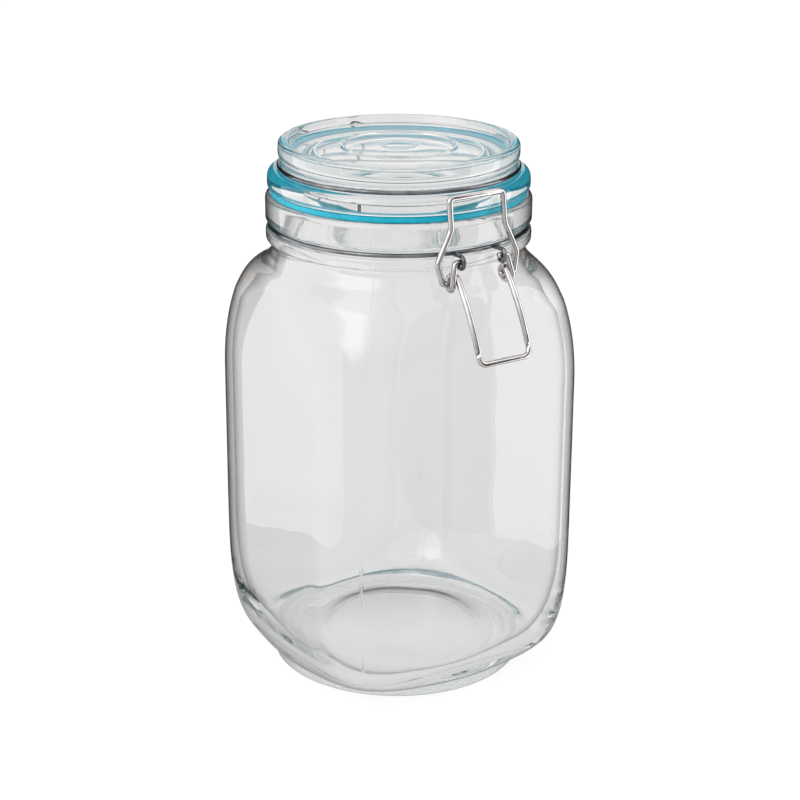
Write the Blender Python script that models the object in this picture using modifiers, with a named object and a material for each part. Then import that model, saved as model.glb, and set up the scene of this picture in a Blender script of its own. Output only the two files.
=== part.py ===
"""Clip top jar: a square glass storage jar with a round neck, a glass lid on a rubber ring,
a wire hinge at the back and a wire toggle clip at the front.

Metres, +Z up. The origin is on the table, in the middle of the whole from the clip's handle at
the front, -Y, to the hinge's hooks at the back, +Y. Lengths below are in millimetres and are
scaled by MM where they are used. Every piece is made round the jar's own upright axis, and a
place on a wire is given as (x, out, z), where out is measured from that axis towards -Y.
"""

import bpy
import bmesh
import math
from mathutils import Vector

MM = 0.001
GAP = 0.3                     # clearance kept between pieces that touch on the real jar

# Body of the jar: a rounded square between a round foot and a round neck.
HALF_WIDTH = 54.5
CORNER_R = 23.7
WALL = 3.6
FOOT_R = 48.2
FOOT_TOP = 5.5
STRAIGHT_LOW = 59.5
STRAIGHT_HIGH = 113.7
SHOULDER_TOP = 157.5
SHOULDER_R = 50.8
HEEL_POWER = 3.4              # a boxy curve from the foot to the flat sides
SHOULDER_POWER = 2.0          # a plain elliptical shoulder
FLOOR = 7.0                   # inside floor over the table
PUNT = 2.2                    # how far the underside is pushed up
DISH_R = 22.0                 # the flatter middle of the underside and of the floor
HOLLOW_FLOOR_R = 39.0

# Neck and mouth.
NECK_R = 46.4
MOUTH_R = 42.0
SMALL_BEAD_R = 49.2
SMALL_BEAD = (168.0, 171.3)
GROOVE_R = 46.6
BEAD_R = 49.3
BEAD = (174.0, 184.0)

# Rubber ring and lid.
RING_INNER = 40.4
RING_OUTER = 47.3
RING_THICK = 2.0
FLANGE_R = 48.5
FLANGE_EDGE = 3.5             # rounding of the flange's upper edge, which the clip bears on
FLANGE_TOP = 193.0
LID_GROOVE_R = 43.0
RIM_R = 44.3
RIM_TOP = 203.5
RECESS_R = 40.1
RECESS_FLOOR = 198.8
PLUG_R = 39.6
PLUG_BOTTOM = 182.5

# Wires: the two rings with their hooks and tails are bent from thinner wire than the clip.
RING_WIRE_R = 0.8
CLIP_WIRE_R = 1.1
NECK_WIRE_Z = 172.6
LID_WIRE_Z = 194.2
HOOK_X = 8.9
HOOK_R = CLIP_WIRE_R + RING_WIRE_R + GAP      # an open hook curls round the lever's pin
HINGE_OUT = 52.1              # the hooks' centre, at the front and at the back
HINGE_Z = NECK_WIRE_Z + 0.1 - HOOK_R
TAIL_X = 12.7                 # the lid wire's two tails at the back
TAIL_OUT = 50.8               # how far behind the axis the tails run down

# Clip: the lever turns in the front hooks and carries the bail in its two eyes.
PIN_IN_X = 6.9                # inner end of the lever's pins
CRANK_X = 11.3
COIL_R = 2 * CLIP_WIRE_R + GAP
COIL_X = 13.0                 # outer turn of the eye, the inner one is a wire's width nearer
EYE_OUT = 50.8
EYE_Z = HINGE_Z - 7.3
LEAVE_DEG = 40.0              # where the handle's leg leaves the eye
KNEE = 14.0                   # how far it runs on before it bends outwards
HANDLE_TIP = (67.6, 137.2)    # out, z
HANDLE_X = 10.8
HANDLE_BEND = 4.0
BAIL_PIN_IN_X = 8.8
BAIL_FOOT_X = COIL_X + 2 * CLIP_WIRE_R + GAP
BAIL_KINK = (17.2, 49.9, 170.4)
BAIL_NECK_Z = 182.0           # where the kinked legs run straight again
BAIL_X = 11.5
BEARING_DEG = 44.0            # where the bail's bar bears on the flange's rounded edge

# How far behind the origin the jar's axis stands.
AXIS_Y = (HANDLE_TIP[0] + CLIP_WIRE_R - HINGE_OUT - HOOK_R - RING_WIRE_R) / 2

COLLECTION = "clip_top_jar"
GLASS = ("clear_glass", (0.86, 0.93, 0.93), 0.03, 0.0)
STEEL = ("bright_wire", (0.72, 0.71, 0.70), 0.18, 1.0)
RUBBER = ("blue_rubber", (0.02, 0.42, 0.68), 0.55, 0.0)


def clear_scene():
    for obj in list(bpy.data.objects):
        bpy.data.objects.remove(obj, do_unlink=True)


def new_collection(name):
    collection = bpy.data.collections.new(name)
    bpy.context.scene.collection.children.link(collection)
    return collection


def material(spec):
    name, colour, roughness, metallic = spec
    found = bpy.data.materials.get(name)
    if found:
        return found
    made = bpy.data.materials.new(name)
    made.use_nodes = True
    shader = made.node_tree.nodes["Principled BSDF"]
    shader.inputs["Base Color"].default_value = (*colour, 1.0)
    shader.inputs["Roughness"].default_value = roughness
    shader.inputs["Metallic"].default_value = metallic
    return made


def add_object(name, data, spec, collection):
    obj = bpy.data.objects.new(name, data)
    collection.objects.link(obj)
    data.materials.append(material(spec))
    return obj


# Glass and rubber: lofted and turned shapes

def section_angles(per_side):
    """Directions round the section, closer together at the corners than on the flats."""
    count = 4 * per_side
    crowding = 0.42
    for i in range(count):
        t = 2 * math.pi * (i + 0.5) / count
        yield t + crowding * math.sin(4 * t) / 4


def rounded_square_reach(half, corner, angle):
    """Distance from the axis to a rounded square's outline in one direction."""
    turn = (angle + math.pi / 4) % (math.pi / 2) - math.pi / 4
    c, s = math.cos(turn), abs(math.sin(turn))
    inset = half - corner
    if half * s / c <= inset:
        return half / c
    reach = inset * (c + s)
    return reach + math.sqrt(max(reach * reach - 2 * inset * inset + corner * corner, 0.0))


def curve_between(start, end, power, steps):
    """Rings (z, half, corner) along a superellipse quarter that leaves start sideways and
    reaches end upright."""
    rings = []
    for i in range(steps + 1):
        turn = 0.5 * math.pi * i / steps
        along = math.sin(turn) ** (2 / power)
        away = 1 - math.cos(turn) ** (2 / power)
        rings.append((
            start[0] + (end[0] - start[0]) * away,
            start[1] + (end[1] - start[1]) * along,
            start[2] + (end[2] - start[2]) * along,
        ))
    return rings


def jar_rings():
    """The jar's outside from the middle of the base up to the rim, then its inside down."""
    def round_ring(z, radius):
        return (z, radius, radius)

    outside = [
        round_ring(PUNT - 0.3, DISH_R),
        round_ring(PUNT - 0.9, 38.0),
        round_ring(0.0, 43.4),
        round_ring(0.0, 46.6),
        round_ring(0.6, FOOT_R - 0.5),
        round_ring(1.8, FOOT_R),
        round_ring(FOOT_TOP, FOOT_R),
    ]
    side = (STRAIGHT_LOW, HALF_WIDTH, CORNER_R)
    outside += curve_between((FOOT_TOP, FOOT_R, FOOT_R), side, HEEL_POWER, 8)[1:]
    shoulder = curve_between(
        (SHOULDER_TOP, SHOULDER_R, SHOULDER_R),
        (STRAIGHT_HIGH, HALF_WIDTH, CORNER_R), SHOULDER_POWER, 8)
    outside += shoulder[::-1]
    low, high = SMALL_BEAD
    bead_low, bead_high = BEAD
    outside += [
        round_ring(SHOULDER_TOP + 2.1, NECK_R + 2.0),
        round_ring(SHOULDER_TOP + 4.5, NECK_R + 0.5),
        round_ring(SHOULDER_TOP + 7.0, NECK_R),
        round_ring(low - 1.0, NECK_R),
        round_ring(low, SMALL_BEAD_R - 0.7),
        round_ring(low + 1.2, SMALL_BEAD_R),
        round_ring(high - 1.2, SMALL_BEAD_R),
        round_ring(high, SMALL_BEAD_R - 0.9),
        round_ring(high + 0.1, GROOVE_R),
        round_ring(bead_low - 0.1, GROOVE_R),
        round_ring(bead_low, BEAD_R - 1.0),
        round_ring(bead_low + 1.8, BEAD_R),
        round_ring(bead_high - 2.2, BEAD_R),
        round_ring(bead_high - 0.6, BEAD_R - 0.6),
        round_ring(bead_high, BEAD_R - 1.6),
    ]
    inside = [
        round_ring(bead_high, MOUTH_R + 1.2),
        round_ring(bead_high - 1.2, MOUTH_R),
        round_ring(SHOULDER_TOP + 6.5, MOUTH_R),
        round_ring(SHOULDER_TOP + 2.5, MOUTH_R + 1.0),
        round_ring(SHOULDER_TOP - 0.1, MOUTH_R + 3.0),
    ]
    hollow = (HALF_WIDTH - WALL, CORNER_R - WALL)
    inside += curve_between(
        (SHOULDER_TOP - WALL, SHOULDER_R - WALL, SHOULDER_R - WALL),
        (STRAIGHT_HIGH, *hollow), SHOULDER_POWER, 7)
    inside += curve_between(
        (FLOOR + 0.6, HOLLOW_FLOOR_R, HOLLOW_FLOOR_R),
        (STRAIGHT_LOW, *hollow), HEEL_POWER - 0.4, 7)[::-1]
    inside.append(round_ring(FLOOR + 1.0, DISH_R))
    return outside, inside


def build_jar(collection):
    """A loft over unlike sections, round at the foot and neck and square between them."""
    outside, inside = jar_rings()
    rings = outside + inside
    angles = list(section_angles(14))
    bm = bmesh.new()
    loops = []
    for z, half, corner in rings:
        loop = []
        for angle in angles:
            reach = rounded_square_reach(half, corner, angle)
            place = (reach * math.cos(angle), reach * math.sin(angle), z)
            loop.append(bm.verts.new(Vector(place) * MM))
        loops.append(loop)
    count = len(angles)
    for lower, upper in zip(loops, loops[1:]):
        for i in range(count):
            j = (i + 1) % count
            bm.faces.new((lower[i], lower[j], upper[j], upper[i]))
    base = bm.verts.new((0, 0, PUNT * MM))
    floor = bm.verts.new((0, 0, (FLOOR + 1.4) * MM))
    for i in range(count):
        j = (i + 1) % count
        bm.faces.new((base, loops[0][j], loops[0][i]))
        bm.faces.new((floor, loops[-1][i], loops[-1][j]))
    bmesh.ops.recalc_face_normals(bm, faces=bm.faces)
    mesh = bpy.data.meshes.new("jar")
    bm.to_mesh(mesh)
    bm.free()
    mesh.shade_smooth()
    mesh.set_sharp_from_angle(angle=math.radians(35))
    return add_object("jar", mesh, GLASS, collection)


def turned(name, profile, steps, spec, collection, closed=False):
    """A profile of (radius, z) points in millimetres, turned about the axis."""
    mesh = bpy.data.meshes.new(name)
    points = [(radius * MM, 0.0, z * MM) for radius, z in profile]
    edges = [(i, i + 1) for i in range(len(points) - 1)]
    if closed:
        edges.append((len(points) - 1, 0))
    mesh.from_pydata(points, edges, [])
    obj = add_object(name, mesh, spec, collection)
    screw = obj.modifiers.new("turn", "SCREW")
    screw.steps = steps
    screw.render_steps = steps
    screw.use_merge_vertices = True
    screw.merge_threshold = 0.00001
    screw.use_smooth_shade = True
    return obj


def flange_edge_centre():
    return (FLANGE_R - FLANGE_EDGE, FLANGE_TOP - FLANGE_EDGE)


def lid_profile():
    """From the middle of the top, over the rim and the flange, to the middle underneath."""
    edge_out, edge_z = flange_edge_centre()
    ring_top = BEAD[1] + GAP + RING_THICK
    profile = [
        (0.0, RECESS_FLOOR),
        (26.6, RECESS_FLOOR),
        (27.4, RECESS_FLOOR + 0.5),
        (28.2, RECESS_FLOOR),
        (RECESS_R - 1.6, RECESS_FLOOR + 0.1),
        (RECESS_R - 0.2, RECESS_FLOOR + 1.8),
        (RECESS_R + 0.5, RIM_TOP - 0.8),
        (RECESS_R + 1.5, RIM_TOP),
        (RIM_R - 1.6, RIM_TOP - 0.3),
        (RIM_R - 0.4, RIM_TOP - 1.6),
        (RIM_R, RIM_TOP - 4.0),
        (RIM_R - 0.1, LID_WIRE_Z + 2.0),
        (LID_GROOVE_R, LID_WIRE_Z + 1.2),
        (LID_GROOVE_R, FLANGE_TOP + 0.1),
    ]
    for i in range(6):
        turn = 0.5 * math.pi * (1 - i / 5)
        profile.append((edge_out + FLANGE_EDGE * math.cos(turn),
                        edge_z + FLANGE_EDGE * math.sin(turn)))
    profile += [
        (FLANGE_R - 0.2, ring_top + GAP + 1.0),
        (FLANGE_R - 1.2, ring_top + GAP),
        (PLUG_R + 0.3, ring_top + GAP),
        (PLUG_R, PLUG_BOTTOM + 1.0),
        (PLUG_R - 1.0, PLUG_BOTTOM),
        (PLUG_R - 3.4, PLUG_BOTTOM),
        (PLUG_R - 5.4, PLUG_BOTTOM + 3.0),
        (PLUG_R - 9.6, PLUG_BOTTOM + 8.4),
        (20.0, RECESS_FLOOR - 5.2),
        (0.0, RECESS_FLOOR - 4.6),
    ]
    return profile


def build_lid(collection):
    return turned("lid", lid_profile(), 48, GLASS, collection)


def build_gasket(collection):
    low = BEAD[1] + GAP
    high = low + RING_THICK
    soft = 0.4
    profile = [
        (RING_INNER, high),
        (RING_OUTER - soft, high),
        (RING_OUTER, high - soft),
        (RING_OUTER, low + soft),
        (RING_OUTER - soft, low),
        (RING_INNER, low),
    ]
    return turned("gasket", profile, 40, RUBBER, collection, closed=True)


# Wires: bent rods of one thickness

def to_place(x, out, z):
    return Vector((x, -out, z)) * MM


def arc(centre, radius, start_deg, end_deg, steps):
    """Points (out, z) on an arc. Degrees run from straight out towards straight up."""
    points = []
    for i in range(steps + 1):
        turn = math.radians(start_deg + (end_deg - start_deg) * i / steps)
        points.append((centre[0] + radius * math.cos(turn),
                       centre[1] + radius * math.sin(turn)))
    return points


def rounded(points, radii, steps=3):
    """The path with each inner corner replaced by a smooth bend of about that radius."""
    path = [Vector(points[0])]
    for before, corner, after, radius in zip(points, points[1:], points[2:], radii):
        before, corner, after = Vector(before), Vector(corner), Vector(after)
        back = (before - corner).normalized()
        on = (after - corner).normalized()
        reach = radius / math.tan(back.angle(on) / 2)
        start = corner + back * reach
        end = corner + on * reach
        for i in range(steps + 1):
            t = i / steps
            path.append(start.lerp(corner, t).lerp(corner.lerp(end, t), t))
    path.append(Vector(points[-1]))
    return path


def mirrored(half_path):
    """A whole path from the half at +x, whose last point lies on the middle plane or at it."""
    other = [Vector((-p[0], p[1], p[2])) for p in half_path]
    whole = [Vector(p) for p in half_path]
    if abs(whole[-1].x) < 1e-6:
        other = other[:-1]
    return whole + other[::-1]


def wire_curve(name, path, wire_r, collection, closed=False):
    curve = bpy.data.curves.new(name, "CURVE")
    curve.dimensions = "3D"
    curve.bevel_depth = wire_r * MM
    curve.bevel_resolution = 2
    curve.use_fill_caps = True
    spline = curve.splines.new("POLY")
    spline.points.add(len(path) - 1)
    for point, place in zip(spline.points, path):
        point.co = (*to_place(*place), 1.0)
    spline.use_cyclic_u = closed
    return add_object(name, curve, STEEL, collection)


def as_mesh(obj, collection):
    """The curve's tube as a mesh object, with its caps joined on."""
    graph = bpy.context.evaluated_depsgraph_get()
    mesh = bpy.data.meshes.new_from_object(obj.evaluated_get(graph))
    bm = bmesh.new()
    bm.from_mesh(mesh)
    bmesh.ops.remove_doubles(bm, verts=bm.verts, dist=0.00001)
    bmesh.ops.recalc_face_normals(bm, faces=bm.faces)
    bm.to_mesh(mesh)
    bm.free()
    name = obj.name
    place = obj.matrix_world.copy()
    bpy.data.objects.remove(obj, do_unlink=True)
    made = bpy.data.objects.new(name, mesh)
    made.matrix_world = place
    collection.objects.link(made)
    return made


def joined(name, curves, collection, helpers):
    """One wire piece from several tubes that run into each other."""
    pieces = [as_mesh(curve, collection) for curve in curves]
    whole = pieces[0]
    whole.name = name
    whole.data.name = name
    for extra in pieces[1:]:
        union = whole.modifiers.new(extra.name, "BOOLEAN")
        union.operation = "UNION"
        union.object = extra
        collection.objects.unlink(extra)
        helpers.objects.link(extra)
        extra.parent = whole
        extra.hide_render = True
        extra.display_type = "WIRE"
    return whole


def circle_path(radius, z, steps):
    path = []
    for i in range(steps):
        turn = 2 * math.pi * i / steps
        path.append((radius * math.cos(turn), radius * math.sin(turn), z))
    return path


def hook_path(x, side):
    """An open hook that leaves the neck wire and curls round a pin from above."""
    ring_r = GROOVE_R + GAP + RING_WIRE_R
    start_out = math.sqrt(ring_r ** 2 - x ** 2)
    curl = arc((HINGE_OUT, HINGE_Z), HOOK_R, 90, -135, 8)
    path = [(start_out, NECK_WIRE_Z), (start_out + 1.6, NECK_WIRE_Z)] + curl
    return [(x, side * out, z) for out, z in path]


def build_neck_wire(collection, helpers):
    ring = circle_path(GROOVE_R + GAP + RING_WIRE_R, NECK_WIRE_Z, 48)
    curves = [wire_curve("neck_wire", ring, RING_WIRE_R, collection, True)]
    for side, where in ((1, "front"), (-1, "back")):
        for x, hand in ((HOOK_X, "right"), (-HOOK_X, "left")):
            path = hook_path(x, side)
            curves.append(wire_curve(f"{where}_hook_{hand}", path, RING_WIRE_R, collection))
    return joined("neck_wire", curves, collection, helpers)


def build_lid_wire(collection, helpers):
    """A ring in the lid's groove, and a stirrup at the back that turns in the two hooks."""
    ring_r = LID_GROOVE_R + GAP + RING_WIRE_R
    path = circle_path(ring_r, LID_WIRE_Z, 48)
    ring = wire_curve("lid_wire", path, RING_WIRE_R, collection, True)
    start_out = math.sqrt(ring_r ** 2 - TAIL_X ** 2)
    corners = [
        (TAIL_X, -start_out, LID_WIRE_Z),
        (TAIL_X, -TAIL_OUT, LID_WIRE_Z + 0.4),
        (TAIL_X, -TAIL_OUT, 182.0),
        (TAIL_X, -HINGE_OUT, HINGE_Z),
        (0.0, -HINGE_OUT, HINGE_Z),
    ]
    stirrup = mirrored(rounded(corners, (1.6, 4.0, 1.4)))
    tails = wire_curve("lid_wire_stirrup", stirrup, RING_WIRE_R, collection)
    return joined("lid_wire", [ring, tails], collection, helpers)


def lever_path():
    """Half of the lever: pivot pin, crank, eye, handle leg, and the handle's end bar."""
    corners = [
        (PIN_IN_X, HINGE_OUT, HINGE_Z),
        (CRANK_X, HINGE_OUT, HINGE_Z),
        (COIL_X, EYE_OUT + COIL_R, EYE_Z + 0.9),
    ]
    path = rounded(corners, (1.2,))[:-1]
    steps = 12
    coil = arc((EYE_OUT, EYE_Z), COIL_R, 0, LEAVE_DEG - 360, steps)
    for i, (out, z) in enumerate(coil):
        path.append(Vector((COIL_X - COIL_R * i / steps, out, z)))

    # The leg leaves the eye steeply and bends outwards, as a curve pulled towards its knee.
    start = path[-1]
    leave = math.radians(LEAVE_DEG - 90)
    knee = start + KNEE * Vector((0.0, math.cos(leave), math.sin(leave)))
    tip = Vector((HANDLE_X, *HANDLE_TIP))
    along = Vector((0.0, tip.y - knee.y, tip.z - knee.z)).normalized() * HANDLE_BEND
    end = tip - along
    knee.x = (start.x + end.x) / 2
    for i in range(1, 7):
        t = i / 6
        path.append(start.lerp(knee, t).lerp(knee.lerp(end, t), t))
    for turn_deg in (22.5, 45.0, 67.5, 90.0):
        turn = math.radians(turn_deg)
        inwards = Vector((HANDLE_BEND * (1 - math.cos(turn)), 0.0, 0.0))
        path.append(end + along * math.sin(turn) - inwards)
    path.append(Vector((0.0, *HANDLE_TIP)))
    return mirrored(path)


def bail_path():
    """Half of the bail: pin in the lever's eye, leg with its outward kink, and the bar."""
    edge_out, edge_z = flange_edge_centre()
    reach = FLANGE_EDGE + GAP + CLIP_WIRE_R
    bearing = math.radians(BEARING_DEG)
    bar = (edge_out + reach * math.cos(bearing), edge_z + reach * math.sin(bearing))
    corners = [
        (BAIL_PIN_IN_X, EYE_OUT, EYE_Z),
        (BAIL_FOOT_X, EYE_OUT, EYE_Z),
        BAIL_KINK,
        (BAIL_X, BAIL_KINK[1], BAIL_NECK_Z),
        (BAIL_X, *bar),
        (0.0, *bar),
    ]
    return mirrored(rounded(corners, (1.1, 3.0, 5.0, 1.8)))


def build_lever(collection):
    return wire_curve("lever", lever_path(), CLIP_WIRE_R, collection)


def build_bail(collection):
    return wire_curve("bail", bail_path(), CLIP_WIRE_R, collection)


def axis_empty(name, out, z, collection):
    """Marks an axis that other pieces hang on."""
    empty = bpy.data.objects.new(name, None)
    empty.empty_display_size = 0.01
    empty.location = to_place(0.0, out, z)
    collection.objects.link(empty)
    return empty


def hang_on(obj, empty):
    obj.parent = empty
    obj.matrix_parent_inverse = empty.matrix_world.inverted()


def main():
    clear_scene()
    parts = new_collection(COLLECTION)
    helpers = new_collection("helpers")
    jar = build_jar(parts)
    neck_wire = build_neck_wire(parts, helpers)
    lid = build_lid(parts)
    gasket = build_gasket(parts)
    lid_wire = build_lid_wire(parts, helpers)
    lever = build_lever(parts)
    bail = build_bail(parts)
    hinge = axis_empty("lid_hinge_axis", -HINGE_OUT, HINGE_Z, parts)
    pivot = axis_empty("lever_axis", HINGE_OUT, HINGE_Z, parts)
    eye = axis_empty("bail_axis", EYE_OUT, EYE_Z, parts)
    bpy.context.view_layer.update()
    for obj in (lid, gasket, lid_wire):
        hang_on(obj, hinge)
    for obj in (lever, eye):
        hang_on(obj, pivot)
    bpy.context.view_layer.update()
    hang_on(bail, eye)
    jar_axis = axis_empty("jar_axis", -AXIS_Y, 0.0, parts)
    for obj in (jar, neck_wire, hinge, pivot):
        obj.parent = jar_axis


main()
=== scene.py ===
# %% [markdown]
# # A clip top jar
# A square glass jar for storing food, with a round neck, a glass lid on a blue rubber ring, a
# wire hinge behind and a wire toggle clip in front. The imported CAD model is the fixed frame: it
# says where each piece is and how the lid, the lever and the bail turn. This lesson makes the
# pieces again with finer shapes and gives them glass, rubber and steel wire.

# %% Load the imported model
import math

import bmesh
import bpy
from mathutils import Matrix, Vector


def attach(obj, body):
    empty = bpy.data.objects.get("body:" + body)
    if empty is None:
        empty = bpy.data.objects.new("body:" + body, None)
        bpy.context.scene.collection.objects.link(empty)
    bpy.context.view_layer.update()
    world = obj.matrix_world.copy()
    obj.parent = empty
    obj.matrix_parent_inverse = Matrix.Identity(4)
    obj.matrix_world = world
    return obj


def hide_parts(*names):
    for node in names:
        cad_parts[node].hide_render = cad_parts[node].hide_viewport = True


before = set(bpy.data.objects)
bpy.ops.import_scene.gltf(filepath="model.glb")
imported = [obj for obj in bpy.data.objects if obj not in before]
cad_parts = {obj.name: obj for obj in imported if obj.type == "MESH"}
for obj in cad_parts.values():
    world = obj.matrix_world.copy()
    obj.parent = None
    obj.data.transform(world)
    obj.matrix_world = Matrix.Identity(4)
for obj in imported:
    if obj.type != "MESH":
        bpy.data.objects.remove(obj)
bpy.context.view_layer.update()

# %% [markdown]
# ## Measures
# Every length is in millimetres and is multiplied by MM where it is used. The jar's upright axis
# stands 6.8 mm behind the origin, because the origin is in the middle of the whole, clip
# and hinge included. A place on a wire is (x, out, z), with out measured from that axis to the
# front.

# %% Measures of the glass
MM = 0.001
AXIS_Y = 6.8
HALF_WIDTH = 54.5
CORNER_R = 23.7
WALL = 3.6
FOOT_R = 48.2
FOOT_TOP = 5.5
STRAIGHT = (59.5, 113.7)
SHOULDER_TOP = 157.5
SHOULDER_R = 50.8
NECK_R = 46.4
MOUTH_R = 42.0
RING_R = 47.3
RING_LOW, RING_HIGH = 183.98, 186.62
PLUG_R, PLUG_LOW = 39.6, 182.5
FLANGE_R, FLANGE_LOW, FLANGE_TOP = 48.5, 186.6, 193.0
RIM_R, RIM_TOP = 44.4, 203.5
RECESS_FLOOR = 201.0
print("body is", 2 * HALF_WIDTH, "mm wide, lid is", 2 * FLANGE_R, "mm wide")

# %% Measures of the wires
RING_WIRE_R = 0.8
CLIP_WIRE_R = 1.1
NECK_WIRE = (47.7, 172.6)
LID_WIRE = (44.1, 194.2)
HOOK_X = 8.9
HOOK_R = 2.2
HINGE = (52.1, 170.5)
TAIL_X = 12.7
TAIL_OUT = 50.8
EYE = (50.8, 163.2)
EYE_R = 2.5
EYE_X = 13.0
HANDLE_TIP = (67.6, 137.2)
HANDLE_X = 10.8
BAIL_FOOT_X = 15.5
BAIL_X = 11.5
BAIL_BAR = (48.52, 192.90)
print("clip wire is", 2 * CLIP_WIRE_R, "mm thick, ring wire", 2 * RING_WIRE_R, "mm")

# %% [markdown]
# ## The tools of the bench
# An operator acts on everything that is selected, so each piece starts with nothing else selected.
# In edit mode, edges and faces are picked by where they are, as one would click them.

# %% Select, edit and finish
WELD = 0.000002
SMOOTH_BELOW = math.radians(40)


def only(obj):
    bpy.ops.object.select_all(action="DESELECT")
    obj.select_set(True)
    bpy.context.view_layer.objects.active = obj


def edit(obj):
    only(obj)
    bpy.ops.object.mode_set(mode="EDIT")


def leave_edit():
    bpy.ops.object.mode_set(mode="OBJECT")


def pick_edges(obj, wanted):
    """Selects the edges for which wanted(first end, second end) is true, in millimetres."""
    bpy.ops.mesh.select_mode(type="EDGE")
    bpy.ops.mesh.select_all(action="DESELECT")
    mesh = bmesh.from_edit_mesh(obj.data)
    picked = [e for e in mesh.edges if wanted(e.verts[0].co / MM, e.verts[1].co / MM)]
    for one in picked:
        one.select_set(True)
    bmesh.update_edit_mesh(obj.data)


def pick_faces(obj, wanted):
    """Selects the faces for which wanted(centre in millimetres, normal) is true."""
    bpy.ops.mesh.select_mode(type="FACE")
    bpy.ops.mesh.select_all(action="DESELECT")
    mesh = bmesh.from_edit_mesh(obj.data)
    picked = [f for f in mesh.faces if wanted(f.calc_center_median() / MM, f.normal)]
    for one in picked:
        one.select_set(True)
    bmesh.update_edit_mesh(obj.data)


def finish_piece(obj, name, body, slot, *nodes):
    """Cleans the mesh, turns its faces outwards, smooths it and ties it to the frame."""
    edit(obj)
    bpy.ops.mesh.select_mode(type="VERT")
    bpy.ops.mesh.select_all(action="SELECT")
    bpy.ops.mesh.remove_doubles(threshold=WELD)
    bpy.ops.mesh.normals_make_consistent(inside=False)
    leave_edit()
    bpy.ops.object.shade_smooth_by_angle(angle=SMOOTH_BELOW)
    obj.name = name
    obj.data.name = name
    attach(obj, body)
    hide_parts(*nodes)
    print(name, "has", len(obj.data.polygons), "faces")


# %% [markdown]
# ## The body: a square that turns round
# The real body is blown in a mould: a rounded square in the middle, round at the foot and at the
# neck. Lofting through separate sections would need them matched by hand. Here the straight part
# is a cube with its upright edges bevelled. Its open edge is then extruded ring by ring, and each
# ring is pulled towards a circle with To Sphere and sized with Resize, so the faces stay matched.

# %% The straight part, from a cube
# The bevel reaches further than the corner's radius and is fuller than an arc of a circle, so the
# corner leaves the flats gently.
CORNER_ROUNDNESS = 0.6
CORNER_REACH = 1.3
CORNER_STEPS = 18
FLAT_CUTS = 23


def square_tube(half, corner, low, high):
    """An upright tube, open at both ends, whose section is a rounded square."""
    bpy.ops.object.select_all(action="DESELECT")
    bpy.ops.mesh.primitive_cube_add(
        size=1, location=(0, AXIS_Y * MM, 0.5 * (low + high) * MM),
        scale=(2 * half * MM, 2 * half * MM, (high - low) * MM))
    bpy.ops.object.transform_apply(location=True, rotation=True, scale=True)
    tube = bpy.context.object
    edit(tube)
    pick_edges(tube, lambda a, b: abs(a.z - b.z) > 1)
    bpy.ops.mesh.bevel(offset=CORNER_REACH * corner * MM, offset_type="OFFSET",
                       segments=CORNER_STEPS, profile=CORNER_ROUNDNESS, affect="EDGES")
    pick_faces(tube, lambda centre, normal: abs(normal.z) > 0.9)
    bpy.ops.mesh.delete(type="ONLY_FACE")
    flat = 2 * (half - CORNER_REACH * corner)
    pick_edges(tube, lambda a, b: abs(a.z - b.z) < 1 and abs((a - b).length - flat) < 1)
    bpy.ops.mesh.subdivide(number_cuts=FLAT_CUTS)
    leave_edit()
    return tube


# %% Growing rings from an open edge
def reach_of(half, corner):
    """How far a rounded square reaches at its flats and at its corners."""
    return half, (half - corner) * math.sqrt(2) + corner


def grow(tube, start, rings):
    """Extrudes the open edge at the ring start through rings of (z, half width, corner radius)."""
    z, half, corner = start
    flat, tip = reach_of(half, corner)
    edit(tube)
    pick_edges(tube, lambda a, b: abs(a.z - z) < 0.01 and abs(b.z - z) < 0.01)
    mesh = bmesh.from_edit_mesh(tube.data)
    reaches = [math.hypot(v.co.x, v.co.y - AXIS_Y * MM) / MM for v in mesh.verts if v.select]
    mean = sum(reaches) / len(reaches)
    for next_z, half, corner in rings:
        next_flat, next_tip = reach_of(half, corner)
        ratio = next_tip / next_flat
        spread = (tip - mean) + ratio * (mean - flat)
        roundness = (tip - ratio * flat) / spread if spread > 1e-6 else 0.0
        scale = next_flat / (flat + roundness * (mean - flat))
        centre = (0, AXIS_Y * MM, next_z * MM)
        bpy.ops.mesh.extrude_region_move(
            TRANSFORM_OT_translate={"value": (0, 0, (next_z - z) * MM)})
        if roundness > 1e-6:
            bpy.ops.transform.tosphere(value=min(roundness, 1.0), center_override=centre)
        bpy.ops.transform.resize(value=(scale, scale, 1), center_override=centre)
        z, flat, tip, mean = next_z, next_flat, next_tip, mean * scale


def curve_between(end, side, power, steps):
    """Rings from the round end to the square side, on a superellipse that meets it upright."""
    rings = []
    for i in range(steps + 1):
        turn = 0.5 * math.pi * i / steps
        along = math.sin(turn) ** (2 / power)
        away = 1 - math.cos(turn) ** (2 / power)
        rings.append((
            end[0] + (side[0] - end[0]) * away,
            end[1] + (side[1] - end[1]) * along,
            end[2] + (side[2] - end[2]) * along))
    return rings


def round_rings(profile):
    """Round rings for grow, from points (z, radius)."""
    return [(z, radius, radius) for z, radius in profile]


def eased(rings, low, high, rounds):
    """Evens out the rings between two heights by the mean of each ring and its neighbours."""
    for _ in range(rounds):
        means = [tuple((a + b + c) / 3 for a, b, c in zip(*three))
                 for three in zip(rings, rings[1:], rings[2:])]
        middle = [mean if low < ring[0] < high else ring for mean, ring in zip(means, rings[1:])]
        rings = [rings[0]] + middle + [rings[-1]]
    return rings


def arc_profile(centre_z, centre_r, radius, start_deg, end_deg, steps):
    """Points (z, radius) on a quarter or so of a circle, 0 degrees outwards and 90 upwards."""
    points = []
    for i in range(steps + 1):
        turn = math.radians(start_deg + (end_deg - start_deg) * i / steps)
        points.append((centre_z + radius * math.sin(turn), centre_r + radius * math.cos(turn)))
    return points


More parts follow.
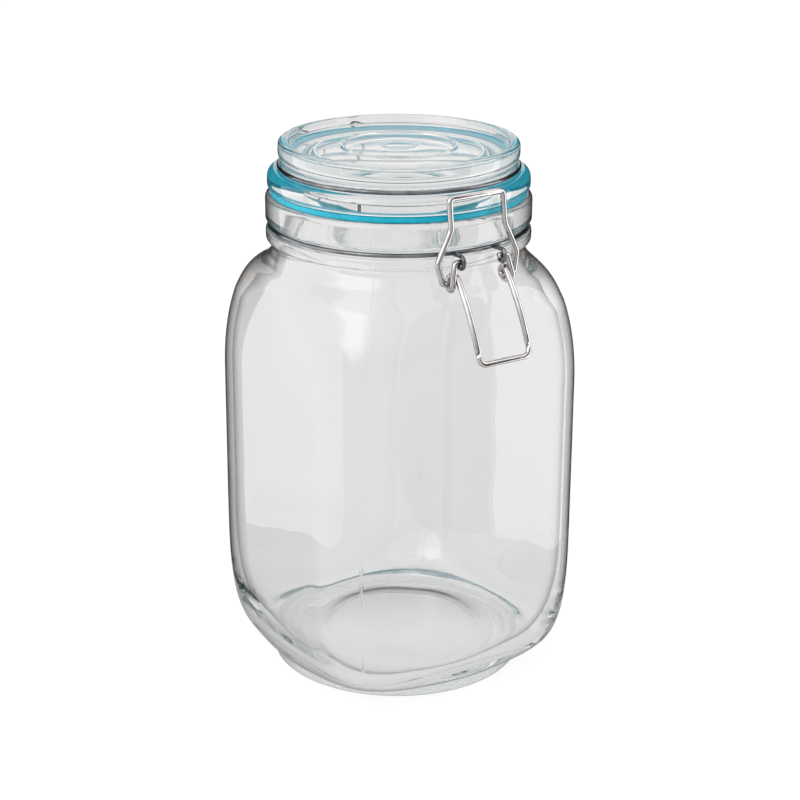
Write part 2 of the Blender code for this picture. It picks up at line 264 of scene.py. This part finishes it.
# %% The outside
# The shoulder leaves the flats upright and is eased into the neck, so no crease shows there.
SHOULDER_POWER = 2.0
HEEL_POWER = 3.4
CURVE_STEPS = 26
EASED_OUTSIDE = (146, 164, 10)
low, high = STRAIGHT
side_low = (low, HALF_WIDTH, CORNER_R)
side_high = (high, HALF_WIDTH, CORNER_R)
outer = square_tube(HALF_WIDTH, CORNER_R, low, high)
shoulder = curve_between((SHOULDER_TOP, SHOULDER_R, SHOULDER_R), side_high, SHOULDER_POWER,
                         CURVE_STEPS)[::-1]
neck = round_rings(
    [(158.6, 49.5), (159.6, 48.4), (160.8, 47.5), (162.0, 46.9), (163.3, 46.55), (164.5, NECK_R),
     (166.6, NECK_R)]
    + arc_profile(168.1, 48.0, 1.2, -75, 0, 5)
    + arc_profile(170.1, 48.0, 1.2, 0, 80, 5)
    + [(171.4, 46.9), (171.7, 46.6), (173.6, 46.6), (173.9, 47.0)]
    + arc_profile(175.5, 47.8, 1.5, -85, 0, 7)
    + [(178.5, 49.3)]
    + arc_profile(182.0, 47.3, 2.0, 0, 90, 9)
    + arc_profile(182.4, 43.6, 1.6, 90, 126, 3))
grow(outer, side_high, eased(shoulder[1:] + neck, *EASED_OUTSIDE))
leave_edit()
heel = curve_between((FOOT_TOP, FOOT_R, FOOT_R), side_low, HEEL_POWER, CURVE_STEPS)[::-1]
foot = round_rings(
    [(4.0, FOOT_R), (2.4, FOOT_R)]
    + arc_profile(1.5, 46.7, 1.5, 0, -90, 6)
    + [(0.0, 45.0), (0.0, 43.6), (0.35, 42.4), (0.9, 40.6), (1.3, 38.0), (1.5, 35.0), (1.8, 32.5),
       (2.4, 30.5), (3.2, 28.5), (3.9, 26.0), (4.4, 22.0), (4.7, 17.0), (4.9, 11.0), (5.0, 6.0),
       (5.05, 3.0)])
grow(outer, side_low, heel[1:] + foot)
bpy.ops.mesh.extrude_region_move(TRANSFORM_OT_translate={"value": (0, 0, 0.05 * MM)})
bpy.ops.mesh.merge(type="CENTER")
leave_edit()
print("outside has", len(outer.data.polygons), "faces")

# %% The hollow inside
# Its floor rises in the middle with the pushed-up underside, which makes the base stand firm.
INNER_HEEL_POWER = 3.0
INNER_STEPS = 22
INNER_FLOOR = 7.6
EASED_INSIDE = (143, 166, 30)
hollow = (HALF_WIDTH - WALL, CORNER_R - WALL)
inner = square_tube(*hollow, low, high)
inner_shoulder = curve_between(
    (SHOULDER_TOP - WALL, SHOULDER_R - WALL, SHOULDER_R - WALL), (high, *hollow),
    SHOULDER_POWER, INNER_STEPS)[::-1]
throat = round_rings(
    [(155.6, 46.2), (157.4, 45.0), (158.8, 43.9), (160.2, 43.0), (162.0, 42.35),
     (164.0, MOUTH_R), (181.8, MOUTH_R)]
    + arc_profile(182.4, 43.6, 1.6, 180, 138, 4))
grow(inner, (high, *hollow), eased(inner_shoulder[1:] + throat, *EASED_INSIDE))
leave_edit()
inner_heel = curve_between((INNER_FLOOR, 39.0, 39.0), (low, *hollow), INNER_HEEL_POWER,
                           INNER_STEPS)[::-1]
floor_rings = round_rings([
    (INNER_FLOOR, 36.5), (7.7, 34.5), (8.0, 32.5), (8.6, 30.5), (9.4, 28.5), (10.1, 26.0),
    (10.7, 22.0), (11.1, 17.0), (11.35, 11.0), (11.5, 6.0), (11.55, 3.0)])
grow(inner, (low, *hollow), inner_heel[1:] + floor_rings)
bpy.ops.mesh.extrude_region_move(TRANSFORM_OT_translate={"value": (0, 0, 0.02 * MM)})
bpy.ops.mesh.merge(type="CENTER")
leave_edit()
print("inside has", len(inner.data.polygons), "faces")

# %% [markdown]
# The two shells are one piece of glass, so they are joined and the gap between their rims is
# bridged. Bridge matches two rings by the line between their centres, so one ring ends a little
# below the other. Glass needs a closed skin with every face outwards, or light would bend wrongly.

# %% One glass body
bpy.ops.object.select_all(action="DESELECT")
inner.select_set(True)
outer.select_set(True)
bpy.context.view_layer.objects.active = outer
bpy.ops.object.join()
jar = outer
edit(jar)
bpy.ops.mesh.select_mode(type="EDGE")
bpy.ops.mesh.select_all(action="DESELECT")
bpy.ops.mesh.select_non_manifold(extend=False, use_wire=False, use_multi_face=False,
                                 use_non_contiguous=False, use_verts=False)
bpy.ops.mesh.bridge_edge_loops()
leave_edit()
finish_piece(jar, "glass_body", "jar", "clear_glass", "jar")

# %% [markdown]
# ## Turned pieces
# The lid and the rubber ring are round, so each is a profile turned about the jar's axis. The
# profile starts as one point, a plane merged at its centre, and is extruded point by point.
# Spin then sweeps it round. A lathe curve would do too, but the edit mode way shows every step.

# %% A chain of points, extruded from one
def chain(points):
    """A mesh of edges through points in metres, left in edit mode with its last point selected."""
    bpy.ops.object.select_all(action="DESELECT")
    bpy.ops.mesh.primitive_plane_add(size=0.001, location=(0, 0, 0))
    obj = bpy.context.object
    edit(obj)
    bpy.ops.mesh.select_mode(type="VERT")
    bpy.ops.mesh.select_all(action="SELECT")
    bpy.ops.mesh.merge(type="CENTER")
    bpy.ops.transform.translate(value=points[0])
    for before, after in zip(points, points[1:]):
        step = Vector(after) - Vector(before)
        bpy.ops.mesh.extrude_region_move(TRANSFORM_OT_translate={"value": step})
    return obj


def turned(profile, steps, closed=False):
    """A profile of (radius, z) points turned about the jar's axis."""
    points = [Vector((radius, AXIS_Y, z)) * MM for radius, z in profile]
    if closed:
        points.append(points[0])
    obj = chain(points)
    bpy.ops.mesh.select_all(action="SELECT")
    if closed:
        bpy.ops.mesh.remove_doubles(threshold=0.5 * WELD)
    bpy.ops.mesh.spin(steps=steps, angle=2 * math.pi, center=(0, AXIS_Y * MM, 0), axis=(0, 0, 1))
    leave_edit()
    return obj


def softened(points, steps=4):
    """A profile of (radius, z, rounding) with each corner replaced by a smooth bend."""
    path = [Vector(points[0][:2])]
    for before, corner, after in zip(points, points[1:], points[2:]):
        size = corner[2]
        before, corner, after = Vector(before[:2]), Vector(corner[:2]), Vector(after[:2])
        if size == 0:
            path.append(corner)
            continue
        start = corner + (before - corner).normalized() * size
        end = corner + (after - corner).normalized() * size
        for i in range(steps + 1):
            t = i / steps
            path.append(start.lerp(corner, t).lerp(corner.lerp(end, t), t))
    path.append(Vector(points[-1][:2]))
    return [tuple(point) for point in path]


# %% The lid
# From the middle of its top outwards: two moulded rings in a shallow recess, a thick rolled rim, a
# groove for the wire, a flange, and the hollow plug that centres the lid in the mouth.
LATHE_STEPS = 160
lid_profile = softened([
    (0.0, RECESS_FLOOR, 0),
    (5.2, RECESS_FLOOR, 0.5), (6.0, RECESS_FLOOR + 0.5, 0.4), (6.8, RECESS_FLOOR, 0.5),
    (19.8, RECESS_FLOOR, 0.5), (20.9, RECESS_FLOOR + 0.6, 0.5), (22.0, RECESS_FLOOR, 0.5),
    (39.4, RECESS_FLOOR, 0.6), (40.4, RECESS_FLOOR + 0.9, 0.5),
    (40.7, RIM_TOP, 0.9), (RIM_R, RIM_TOP, 2.0),
    (44.5, 197.4, 2.4), (42.9, 195.6, 0.9), (43.0, FLANGE_TOP, 0.4),
    (FLANGE_R, FLANGE_TOP, 3.4), (FLANGE_R, FLANGE_LOW, 1.2), (39.9, FLANGE_LOW, 0.4),
    (PLUG_R, PLUG_LOW, 1.0), (35.1, PLUG_LOW, 1.2), (31.2, 194.5, 1.2), (0.0, 195.2, 0)], steps=6)
lid = turned(lid_profile, LATHE_STEPS)
finish_piece(lid, "glass_lid", "lid", "clear_glass", "lid")

# %% The rubber ring
# A flat ring with soft edges, squeezed between lid and mouth. Where it touches the glass, the glass
# no longer mirrors, so its blue shows through the lid. Near its outer edge it leaves the flange.
RING_STEPS = 144
ring_profile = softened([
    (43.0, RING_LOW, 0), (PLUG_R - 0.02, RING_LOW, 0.2), (PLUG_R - 0.02, RING_HIGH, 0.2),
    (45.4, RING_HIGH, 0.3), (RING_R, RING_HIGH - 0.5, 0.4),
    (RING_R, RING_LOW, 0.6), (43.1, RING_LOW, 0)], steps=4)
rubber_ring = turned(ring_profile, RING_STEPS, closed=True)
finish_piece(rubber_ring, "rubber_ring", "lid", "blue_rubber", "gasket")

# %% [markdown]
# ## Bent wires
# Every wire is a round rod bent in a few places. A path of points is extruded as the profiles
# were, made a curve, given its thickness, and made a mesh again. Points set close together near
# an end, each thinner than the last, round the cut end as tumbling does on the real wire.

# %% Paths of wire
def to_place(x, out, z):
    return Vector((x, AXIS_Y - out, z)) * MM


def arc(centre, radius, start_deg, end_deg, steps):
    """Points (out, z) on an arc. Degrees run from straight out towards straight up."""
    points = []
    for i in range(steps + 1):
        turn = math.radians(start_deg + (end_deg - start_deg) * i / steps)
        points.append((centre[0] + radius * math.cos(turn), centre[1] + radius * math.sin(turn)))
    return points


def bent(points, radii, steps=8):
    """The path with each inner corner replaced by a smooth bend of about that radius."""
    path = [Vector(points[0])]
    for before, corner, after, radius in zip(points, points[1:], points[2:], radii):
        before, corner, after = Vector(before), Vector(corner), Vector(after)
        back = (before - corner).normalized()
        on = (after - corner).normalized()
        reach = radius / math.tan(back.angle(on) / 2)
        start = corner + back * reach
        end = corner + on * reach
        for i in range(steps + 1):
            t = i / steps
            path.append(start.lerp(corner, t).lerp(corner.lerp(end, t), t))
    path.append(Vector(points[-1]))
    return path


def mirrored(half_path):
    """A whole path from the half at +x, whose last point lies on the middle plane or at it."""
    other = [Vector((-p[0], p[1], p[2])) for p in half_path]
    whole = [Vector(p) for p in half_path]
    if abs(whole[-1].x) < 1e-6:
        other = other[:-1]
    return whole + other[::-1]


# %% A tube along a path
END_STEPS = (0.0, 0.06, 0.2, 0.42, 0.7, 1.0)


def with_round_ends(path, radius):
    """Adds points near both ends, and gives each point its share of the wire's thickness."""
    def one_end(path):
        tip = path[0]
        along = (path[1] - tip).normalized()
        return [tip + along * radius * share for share in END_STEPS]

    start = one_end(path)
    finish = one_end(path[::-1])[::-1]
    shares = [math.sqrt(max(1 - (1 - share) ** 2, 0.02)) for share in END_STEPS]
    middle = path[1:-1]
    return start + middle + finish, shares + [1.0] * len(middle) + shares[::-1]


def wire(path, radius):
    """A round wire with rounded ends along a path of (x, out, z) points."""
    path, shares = with_round_ends([Vector(point) for point in path], radius)
    obj = chain([to_place(*point) for point in path])
    leave_edit()
    only(obj)
    bpy.ops.object.convert(target="CURVE")
    obj = bpy.context.object
    points = obj.data.splines[0].points
    if (points[0].co.xyz - to_place(*path[0])).length > 1e-6:
        shares = shares[::-1]
    for point, share in zip(points, shares):
        point.radius = share
    obj.data.bevel_depth = radius * MM
    obj.data.bevel_resolution = 4
    obj.data.use_fill_caps = True
    bpy.ops.object.convert(target="MESH")
    return bpy.context.object


def hoop(ring_r, z, radius):
    """A closed ring of wire: a small circle turned about the jar's axis."""
    turns = [math.radians(degrees) for degrees in range(0, 360, 24)]
    section = [(ring_r + radius * math.cos(turn), z + radius * math.sin(turn)) for turn in turns]
    return turned(section, LATHE_STEPS, closed=True)


def joined(pieces):
    bpy.ops.object.select_all(action="DESELECT")
    for piece in pieces:
        piece.select_set(True)
    bpy.context.view_layer.objects.active = pieces[0]
    bpy.ops.object.join()
    return pieces[0]


# %% [markdown]
# ## Neck wire
# A ring of thin wire lies in the groove under the mouth. Two open hooks in front hold the lever's
# pins, and two behind hold the lid's stirrup. All four hooks are bent on the same path.

# %% Neck wire
def hook_path(x, side):
    start_out = math.sqrt(NECK_WIRE[0] ** 2 - x ** 2)
    curl = arc(HINGE, HOOK_R, 90, -135, 22)
    path = [(start_out - 0.6, NECK_WIRE[1]), (start_out + 1.2, NECK_WIRE[1])] + curl
    return [(x, side * out, z) for out, z in path]


neck_wire = joined(
    [hoop(NECK_WIRE[0], NECK_WIRE[1], RING_WIRE_R)]
    + [wire(hook_path(x, side), RING_WIRE_R) for side in (1, -1) for x in (HOOK_X, -HOOK_X)])
finish_piece(neck_wire, "neck_wire_ring", "jar", "bright_wire", "neck_wire")

# %% [markdown]
# ## Lid wire
# The lid's ring sits in the groove above the flange. At the back a stirrup comes down from it and
# turns in the neck wire's hooks, which makes the hinge.

# %% Lid wire
start_out = -math.sqrt(LID_WIRE[0] ** 2 - TAIL_X ** 2)
stirrup = bent(
    [(TAIL_X, start_out, LID_WIRE[1]), (TAIL_X, -TAIL_OUT, LID_WIRE[1] + 0.4),
     (TAIL_X, -TAIL_OUT, 182.0), (TAIL_X, -HINGE[0], HINGE[1]), (0.0, -HINGE[0], HINGE[1])],
    (1.6, 4.0, 1.4))
lid_wire = joined([hoop(*LID_WIRE, RING_WIRE_R), wire(mirrored(stirrup), RING_WIRE_R)])
finish_piece(lid_wire, "lid_wire_ring", "lid", "bright_wire", "lid_wire")

# %% [markdown]
# ## Lever
# The lever is one wire: a pin in each front hook, a crank outwards, a coil that makes an eye, and
# the handle's two legs that meet in the bar which the fingers lift.

# %% Lever
COIL_TURN = -320
COIL_STEPS = 40
COIL_WIDTH = 2.5
KNEE_REACH = 14
KNEE_TURN = math.radians(-50)
LEG_STEPS = 14
pin = bent([(6.9, *HINGE), (11.3, *HINGE)] + [
    (EYE_X, *arc(EYE, EYE_R, 0, -1, 1)[0])], (1.2,))
turns = arc(EYE, EYE_R, 0, COIL_TURN, COIL_STEPS)
coil = [(EYE_X - COIL_WIDTH * i / COIL_STEPS, out, z) for i, (out, z) in enumerate(turns)]
leave_out, leave_z = turns[-1]
last = Vector(coil[-1])
knee = Vector((HANDLE_X, leave_out + KNEE_REACH * math.cos(KNEE_TURN),
               leave_z + KNEE_REACH * math.sin(KNEE_TURN)))
end = Vector((HANDLE_X, *HANDLE_TIP))
shares = [i / LEG_STEPS for i in range(1, LEG_STEPS + 1)]
leg = [last.lerp(knee, share).lerp(knee.lerp(end, share), share) for share in shares]
tip_corner = leg.pop()
handle = bent([leg[-1], tip_corner, Vector((0, *HANDLE_TIP))], (3.0,))
lever = wire(mirrored(pin[:-1] + coil + leg[:-1] + handle), CLIP_WIRE_R)
finish_piece(lever, "lever_wire", "lever", "bright_wire", "lever")

# %% [markdown]
# ## Bail
# The bail is the upper loop. Its feet turn in the lever's eyes and its bar presses on the edge of
# the lid, past the dead point, so the clip stays shut.

# %% Bail
bail_path = bent(
    [(8.8, *EYE), (BAIL_FOOT_X, *EYE), (17.2, 49.9, 170.4), (BAIL_X, 49.9, 182.0),
     (BAIL_X, *BAIL_BAR), (0.0, *BAIL_BAR)], (1.1, 3.0, 5.0, 1.8))
bail = wire(mirrored(bail_path), CLIP_WIRE_R)
finish_piece(bail, "bail_wire", "bail", "bright_wire", "bail")

# %% [markdown]
# ## Shader maths in plain expressions
# A small class wraps a socket, so that noise * 0.5 or 1 - mask adds the Math nodes by itself.

# %% Sockets that add up
class Socket:
    def __init__(self, tree, output):
        self.tree = tree
        self.output = output

    def node(self, kind, settings=None, out=0, **inputs):
        """Adds any node: its type, its settings, and values or sockets for its inputs."""
        made = self.tree.nodes.new(kind)
        for name, value in (settings or {}).items():
            setattr(made, name, value)
        for name, value in inputs.items():
            key = int(name[1:]) if name[0] == "i" and name[1:].isdigit() else name.replace("_", " ")
            socket = made.inputs[key]
            if isinstance(value, Socket):
                self.tree.links.new(value.output, socket)
            else:
                socket.default_value = value
        return Socket(self.tree, made.outputs[out])

    def maths(self, operation, first, second=0.0):
        return self.node("ShaderNodeMath", {"operation": operation}, i0=first, i1=second)

    def __add__(self, other):
        return self.maths("ADD", self, other)

    def __radd__(self, other):
        return self.maths("ADD", other, self)

    def __sub__(self, other):
        return self.maths("SUBTRACT", self, other)

    def __rsub__(self, other):
        return self.maths("SUBTRACT", other, self)

    def __mul__(self, other):
        return self.maths("MULTIPLY", self, other)

    def __rmul__(self, other):
        return self.maths("MULTIPLY", other, self)

    def __abs__(self):
        return self.maths("ABSOLUTE", self)

    def ramp(self, low, high):
        """Goes from 0 at low to 1 at high, smoothly."""
        return self.node("ShaderNodeMapRange", {"interpolation_type": "SMOOTHSTEP"},
                         Value=self, From_Min=low, From_Max=high)


def new_material(name, **constants):
    """A Principled material with constants set on its own sockets, its parts, and its place."""
    made = bpy.data.materials.new(name)
    made.use_nodes = True
    tree = made.node_tree
    shader = tree.nodes["Principled BSDF"]
    for key, value in constants.items():
        shader.inputs[key.replace("_", " ")].default_value = value
    place = tree.nodes.new("ShaderNodeTexCoord").outputs["Object"]
    return made, tree, shader, Socket(tree, place)


def feed(tree, socket, value):
    tree.links.new(value.output, socket)


# %% [markdown]
# ## Clear glass
# Soda glass is clear, with a breath of green blue where light crosses much of it, which is set as
# absorption inside the glass. Its surface waves a little, the mould leaves a seam down two
# corners, and the foot is stippled, which kept the hot glass from slipping. A Layer Weight paints
# shade on the glass where it is seen edge on, standing in for the dark surroundings that its edges
# bend into view, and it draws the jar's outline.

# %% Clear glass
# The seam is a ridge 0.9 mm wide with a flat top. Nearer to the axis than SEAM_FROM, as under the
# base, it isn't there.
PAINTED_EDGE_SHADE = (0.04, 0.03, 0.025, 1)
WAVES, STIPPLES = 38.0, 1300.0
SEAM_FLAT, SEAM_EDGE = 0.1 * MM, 0.45 * MM
SEAM_FROM, SEAM_FULL = 40 * MM, 42 * MM


def clear_glass(name, tint, density, edge_zone, seamed=False, stippled=False):
    """Clear glass with painted shade on its edges over edge_zone, from 0 facing to 1 edge on."""
    made, tree, shader, place = new_material(name, Transmission_Weight=1.0, IOR=1.5)
    # Painted shade: the base colour darkens towards a near black where the glass is seen edge on.
    edge = place.node("ShaderNodeLayerWeight", out=1, Blend=0.5)
    feed(tree, shader.inputs["Base Color"],
         place.node("ShaderNodeMix", {"data_type": "RGBA"}, out=2, i0=edge.ramp(*edge_zone),
                    i6=(1, 1, 1, 1), i7=PAINTED_EDGE_SHADE))
    wave = place.node("ShaderNodeTexNoise", Vector=place, Scale=WAVES, Detail=1.0)
    relief = wave * 0.9
    roughness = wave.ramp(0.45, 0.8) * 0.015
    if seamed:
        split = place.node("ShaderNodeSeparateXYZ", Vector=place)
        x = Socket(tree, split.output.node.outputs["X"])
        y = Socket(tree, split.output.node.outputs["Y"]) - AXIS_Y * MM
        outside = (x * x + y * y).ramp(SEAM_FROM ** 2, SEAM_FULL ** 2)
        from_seam = abs((x - y) * math.sqrt(0.5))
        relief = relief + (1 - from_seam.ramp(SEAM_FLAT, SEAM_EDGE)) * outside * 0.5
    if stippled:
        relief = relief + place.node("ShaderNodeTexVoronoi", Vector=place, Scale=STIPPLES) * 2.0
        roughness = roughness + 0.06
    feed(tree, shader.inputs["Roughness"], roughness)
    feed(tree, shader.inputs["Normal"],
         place.node("ShaderNodeBump", Strength=0.35, Distance=0.0004, Height=relief))
    inside = tree.nodes.new("ShaderNodeVolumeAbsorption")
    inside.inputs["Color"].default_value = tint
    inside.inputs["Density"].default_value = density
    tree.links.new(inside.outputs["Volume"], tree.nodes["Material Output"].inputs["Volume"])
    return made


BODY_TINT = (0.44, 0.56, 0.53, 1)
BODY_DENSITY = 2.6
BODY_EDGE = (0.42, 0.85)
body_glass = clear_glass("clear_body_glass", BODY_TINT, BODY_DENSITY, BODY_EDGE, seamed=True)
foot_glass = clear_glass("stippled_foot_glass", BODY_TINT, BODY_DENSITY, BODY_EDGE, seamed=True,
                         stippled=True)
lid_glass = clear_glass("clear_lid_glass", (0.40, 0.60, 0.60, 1), 3.0, (0.85, 1.0))
print("glass:", body_glass.name, foot_glass.name, lid_glass.name)

# %% [markdown]
# ## Drawn wire
# The wire is drawn through a die, and that of the clip is plated. Drawing leaves fine grain in its
# gloss and dull patches. The two rings are given darker colours than the clip: painted shade for
# the grooves they lie in.

# %% Drawn wire
def drawn_wire(name, bright, dull, gloss):
    """Steel wire whose colour goes from bright to dull in patches. A low gloss value is shiny."""
    made, tree, shader, place = new_material(name, Metallic=1.0)
    grain = place.node("ShaderNodeTexNoise", Vector=place, Scale=900.0, Detail=2.0)
    patch = place.node("ShaderNodeTexNoise", Vector=place, Scale=140.0, Detail=2.0)
    tone = place.node("ShaderNodeMix", {"data_type": "RGBA"}, out=2, i0=patch.ramp(0.3, 0.7),
                      i6=bright, i7=dull)
    feed(tree, shader.inputs["Base Color"], tone)
    feed(tree, shader.inputs["Roughness"], grain.ramp(0.2, 0.9) * 0.12 + gloss)
    feed(tree, shader.inputs["Normal"],
         place.node("ShaderNodeBump", Strength=0.15, Distance=0.00003, Height=grain))
    return made


clip_steel = drawn_wire("bright_clip_wire", (0.66, 0.63, 0.62, 1), (0.50, 0.48, 0.48, 1), 0.10)
# The rings' colours are the clip's steel painted darker: painted shade for the grooves they lie in.
shaded_ring_steel = drawn_wire("shade_painted_ring_wire", (0.27, 0.27, 0.28, 1), (0.13, 0.13, 0.14, 1), 0.16)
print("wire:", clip_steel.name, shaded_ring_steel.name)

# %% [markdown]
# ## Blue rubber
# The ring is matt moulded rubber. Fine mottling in its colour, gloss and relief keeps it from
# looking like paint.

# %% Blue rubber
rubber, tree, shader, place = new_material("blue_ring_rubber", Specular_IOR_Level=0.4)
mottle = place.node("ShaderNodeTexNoise", Vector=place, Scale=260.0, Detail=4.0)
tone = place.node("ShaderNodeMix", {"data_type": "RGBA"}, out=2, i0=mottle.ramp(0.3, 0.7),
                  i6=(0.0, 0.45, 0.62, 1), i7=(0.01, 0.55, 0.75, 1))
feed(tree, shader.inputs["Base Color"], tone)
feed(tree, shader.inputs["Roughness"], mottle.ramp(0.2, 0.8) * 0.15 + 0.42)
feed(tree, shader.inputs["Normal"],
     place.node("ShaderNodeBump", Strength=0.2, Distance=0.00005, Height=mottle))
print("rubber:", rubber.name)

# %% Put the finishes on
# Only the ring that the jar stands on is stippled, so its faces get the body's second finish.
FOOT_RING_IN = 39
for piece, finish in ((jar, body_glass), (lid, lid_glass), (rubber_ring, rubber),
                      (neck_wire, shaded_ring_steel), (lid_wire, shaded_ring_steel), (lever, clip_steel),
                      (bail, clip_steel)):
    piece.data.materials.clear()
    piece.data.materials.append(finish)
jar.data.materials.append(foot_glass)
for face in jar.data.polygons:
    x, y, z = face.center / MM
    on_foot = z < FOOT_TOP and math.hypot(x, y - AXIS_Y) > FOOT_RING_IN
    face.material_index = 1 if on_foot else 0
print("stippled faces:", sum(face.material_index for face in jar.data.polygons))

# %% [markdown]
# ## The studio
# Clear glass shows only what it bends and mirrors. A white table and a pale room make it look
# clear, and a large soft light at the left leaves a pale patch on its face. No lamps are needed:
# the table glows like an acrylic sheet lit from below, so nothing on it throws a dark shadow, and
# the world gives the rest of the light.

# %% The table
# It glows a little more where the camera sees it directly than where glass shows it.
TABLE_R = 6.0
TABLE_GLOW = 0.61
MORE_WHERE_SEEN = 0.31
bpy.ops.object.select_all(action="DESELECT")
bpy.ops.mesh.primitive_circle_add(vertices=96, radius=TABLE_R, fill_type="NGON",
                                  location=(0, 0, 0))
table = bpy.context.object
table.name = "table"
white, tree, shader = new_material(
    "white_table", Base_Color=(0.12, 0.12, 0.12, 1), Roughness=1.0, Specular_IOR_Level=0.0,
    Emission_Color=(1, 1, 1, 1))[:3]
ray = tree.nodes.new("ShaderNodeLightPath")
seen = Socket(tree, ray.outputs["Is Camera Ray"])
feed(tree, shader.inputs["Emission Strength"], seen * MORE_WHERE_SEEN + TABLE_GLOW)
table.data.materials.append(white)
print("table is", 2 * TABLE_R, "m wide")

# %% The light round about
# The ceiling and the wall behind are brighter than the rest of the room.
ROOM_LIGHT = 0.60
CEILING_LIGHT = 0.50
WALL_LIGHT = 0.25
SOFTBOX_LIGHT = 2.0
world = bpy.data.worlds.new("studio")
bpy.context.scene.world = world
world.use_nodes = True
tree = world.node_tree
background = tree.nodes["Background"]
way = Socket(tree, tree.nodes.new("ShaderNodeTexCoord").outputs["Generated"])


def facing(x, y, z):
    """How squarely a direction faces the one given, from -1 to 1."""
    return way.node("ShaderNodeVectorMath", {"operation": "DOT_PRODUCT"}, out=1,
                    i0=way, i1=(x, y, z))


above = facing(0, 0, 1).ramp(0.0, 0.95)
behind = facing(0.56, 0.83, 0.0).ramp(-0.5, 0.9)
softbox = facing(-0.80, -0.10, 0.59).ramp(0.86, 0.95)
feed(tree, background.inputs["Strength"],
     above * CEILING_LIGHT + behind * WALL_LIGHT + softbox * SOFTBOX_LIGHT + ROOM_LIGHT)
background.inputs["Color"].default_value = (1.0, 0.985, 0.975, 1)

# %% [markdown]
# ## Cards
# Light and dark cards beside clear glass give its sides something to mirror, which models their
# shape. Only reflections show them here: the camera and the light through the glass pass them by.

# %% Cards that only reflections show
CAMERA_AZIMUTH = math.radians(-34.0)
TO_RIGHT = Vector((math.cos(CAMERA_AZIMUTH), math.sin(CAMERA_AZIMUTH), 0))
TO_BACK = Vector((-math.sin(CAMERA_AZIMUTH), math.cos(CAMERA_AZIMUTH), 0))
CARD_HEIGHT = 280


def card(name, aside, near, far, glow):
    """A standing card, so far aside of the jar, from near to far as the camera sees it."""
    bpy.ops.object.select_all(action="DESELECT")
    bpy.ops.mesh.primitive_plane_add(size=1, location=(0, 0, 0))
    sheet = bpy.context.object
    corners = [(away, up) for up in (1, CARD_HEIGHT) for away in (near, far)]
    for vertex, (away, up) in zip(sheet.data.vertices, corners):
        vertex.co = (TO_RIGHT * aside + TO_BACK * away + Vector((0, AXIS_Y, up))) * MM
    sheet.name = name
    glowing = new_material(
        name, Base_Color=(0, 0, 0, 1), Roughness=1.0, Specular_IOR_Level=0.0,
        Emission_Color=(1, 1, 1, 1), Emission_Strength=glow)[0]
    sheet.data.materials.append(glowing)
    sheet.visible_camera = False
    sheet.visible_diffuse = False
    sheet.visible_transmission = False
    sheet.visible_shadow = False


card("left_light_card", -170, -150, 90, 1.7)
card("left_edge_card", -88, 4, 260, 0.03)
card("right_light_card", 170, -88, 30, 2.2)
card("right_edge_card", 88, -8, 260, 0.03)
card("front_dark_card", 170, -260, -90, 0.10)
print("cards are", CARD_HEIGHT, "mm high")

# %% [markdown]
# ## The camera
# The photograph looks down at twenty degrees, from 34 degrees to the left of the clip. The
# distance was found by fitting the jar's outline, and a small roll levels its axis as in the
# picture.

# %% The camera
CAMERA_RISE = math.radians(20.0)
CAMERA_AWAY = 0.7916
CAMERA_ROLL = -0.006
TARGET = Vector((0, AXIS_Y * MM, 0.1018))
SIDE_STEP = 0.00091
SENSOR_WIDTH = 36.0
FOCAL_PIXELS = 2072
PICTURE_WIDTH = 800
camera_data = bpy.data.cameras.new("camera")
camera_data.sensor_width = SENSOR_WIDTH
camera_data.lens = SENSOR_WIDTH * FOCAL_PIXELS / PICTURE_WIDTH
camera = bpy.data.objects.new("camera", camera_data)
bpy.context.scene.collection.objects.link(camera)
towards = Vector((math.sin(CAMERA_AZIMUTH) * math.cos(CAMERA_RISE),
                  -math.cos(CAMERA_AZIMUTH) * math.cos(CAMERA_RISE), math.sin(CAMERA_RISE)))
camera.location = TARGET + towards * CAMERA_AWAY + TO_RIGHT * SIDE_STEP
turn = (-towards).to_track_quat("-Z", "Y").to_matrix().to_4x4()
camera.rotation_euler = turn.to_euler()
camera.rotation_euler.rotate_axis("Z", -CAMERA_ROLL)
bpy.context.scene.camera = camera
bpy.context.scene.view_settings.view_transform = "Standard"
print("camera stands at", [round(value, 3) for value in camera.location])

# %% [markdown]
# ## Light inside the glass
# Light that is caught in a glass wall meets its two sides many times before it comes out. Where
# the renderer gives up too soon, the thick parts of the glass turn black, so it is told to follow
# the light further.

# %% Light that crosses many walls
GLASS_BOUNCES = 96
light_paths = bpy.context.scene.cycles
light_paths.max_bounces = GLASS_BOUNCES
light_paths.glossy_bounces = GLASS_BOUNCES
light_paths.transmission_bounces = GLASS_BOUNCES
print("light is followed through", GLASS_BOUNCES, "bounces")

# %% [markdown]
# ## Up to date
# The view layer is updated after all the changes above. The finished pieces must fill the box of
# the CAD model and stay within it.

# %% Bring the scene up to date
bpy.context.view_layer.update()
